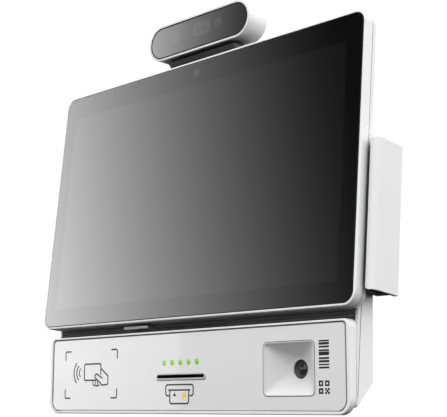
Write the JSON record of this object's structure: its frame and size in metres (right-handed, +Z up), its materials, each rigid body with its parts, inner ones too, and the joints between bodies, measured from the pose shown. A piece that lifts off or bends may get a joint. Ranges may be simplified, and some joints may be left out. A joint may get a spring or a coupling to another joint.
{
  "type": "self checkout kiosk",
  "caption": "Wall mounted self checkout head: leaning touch screen, payment module with card slot and code scanner, swipe reader and camera bar.",
  "frame": {"origin": "centre of the square bolt pattern on the vertical mounting face at the back", "axes": "+Z up, +X to the right seen from the front, +Y out of the back towards the wall"},
  "size_m": [0.3895, 0.074, 0.3588],
  "materials": {
    "screen_glass": "polished",
    "camera_glass": "polished",
    "scanner_glass": "polished",
    "white_shell": "satin",
    "light_panel": "satin",
    "reader_shell": "satin",
    "charcoal_plastic": "matte",
    "black_plastic": "matte",
    "frame_casting": "satin",
    "wedge_casting": "cast, painted grey",
    "lcd_layer": "satin",
    "backlight": "satin",
    "steel": "satin",
    "gold_contact": "polished",
    "circuit_board": "satin",
    "chip_black": "satin",
    "heat_sink_alu": "anodised",
    "foam": "matte",
    "green_light": "clear",
    "bracket_grey": "satin",
    "latch_silver": "satin",
    "funnel_shell": "satin"
  },
  "bodies": {
    "root": {"touch_glass": "screen_glass", "glass_gasket": "foam", "display_bezel": "white_shell", "lcd_panel": "lcd_layer", "lcd_backlight": "backlight", "lcd_brackets": "steel", "webcam_lens": "chip_black", "webcam_board": "circuit_board", "mid_frame": "frame_casting", "neck_cover": "charcoal_plastic", "speaker_enclosure": "black_plastic", "speaker_drivers": "black_plastic", "rear_cover": "white_shell", "rear_cover_screws": "steel", "mounting_wedge": "wedge_casting", "mounting_wedge_screws": "steel", "main_board": "circuit_board", "board_screws": "steel", "processor": "chip_black", "heat_sink": "heat_sink_alu", "memory_module": "circuit_board", "solid_state_drive": "circuit_board", "connector_panel": "steel", "connector_sockets": "steel", "power_board": "circuit_board", "display_ribbon": "black_plastic", "connector_door_pin": "steel", "power_switch_board": "circuit_board", "module_bezel": "white_shell", "module_panel": "light_panel", "module_chassis": "frame_casting", "slot_bezel": "latch_silver", "card_reader_body": "black_plastic", "light_pipes": "green_light", "light_board": "circuit_board", "scanner_funnel": "funnel_shell", "scanner_window": "scanner_glass", "scanner_engine": "chip_black", "antenna_board": "circuit_board", "control_board": "circuit_board", "module_screws": "steel", "reader_cover": "reader_shell", "reader_base": "charcoal_plastic", "head_spring": "gold_contact", "reader_screws": "steel", "camera_bracket": "bracket_grey", "camera_hinge_pin": "steel", "camera_bracket_screws": "steel"},
    "camera_head": {"camera_housing": "white_shell", "camera_glass": "camera_glass", "camera_lenses": "chip_black", "camera_board": "circuit_board", "camera_back_plate": "white_shell"},
    "latch": {"release_latch": "latch_silver"},
    "power_key": {"power_button": "charcoal_plastic"},
    "door": {"connector_door": "white_shell"},
    "swipe_head": {"read_head": "steel"},
    "contact_carriage": {"card_contact_carriage": "black_plastic"}
  },
  "joints": [
    {"name": "camera_tilt", "type": "hinge", "parent": "root", "child": "camera_head", "pos_m": [0, -0.0375, 0.1285], "axis": [1, 0, 0], "range_deg": [-9, 8]},
    {"name": "latch_slide", "type": "slide", "parent": "root", "child": "latch", "axis": [1, 0, 0], "range_m": [0, 0.008], "stiffness_N_per_m": 150, "springref_m": -0.004},
    {"name": "power_press", "type": "slide", "parent": "root", "child": "power_key", "axis": [1, 0, 0], "range_m": [0, 0.001], "stiffness_N_per_m": 900, "springref_m": -0.0006},
    {"name": "door_hinge", "type": "hinge", "parent": "root", "child": "door", "pos_m": [0, -0.0278, -0.13626], "axis": [-1, 0, 0], "range_deg": [0, 100]},
    {"name": "head_press", "type": "slide", "parent": "root", "child": "swipe_head", "axis": [1, 0, 0], "range_m": [0, 0.0008], "stiffness_N_per_m": 900, "springref_m": -0.0006},
    {"name": "carriage_slide", "type": "slide", "parent": "root", "child": "contact_carriage", "axis": [0, 1, 0], "range_m": [0, 0.006], "stiffness_N_per_m": 150, "springref_m": -0.004}
  ]
}
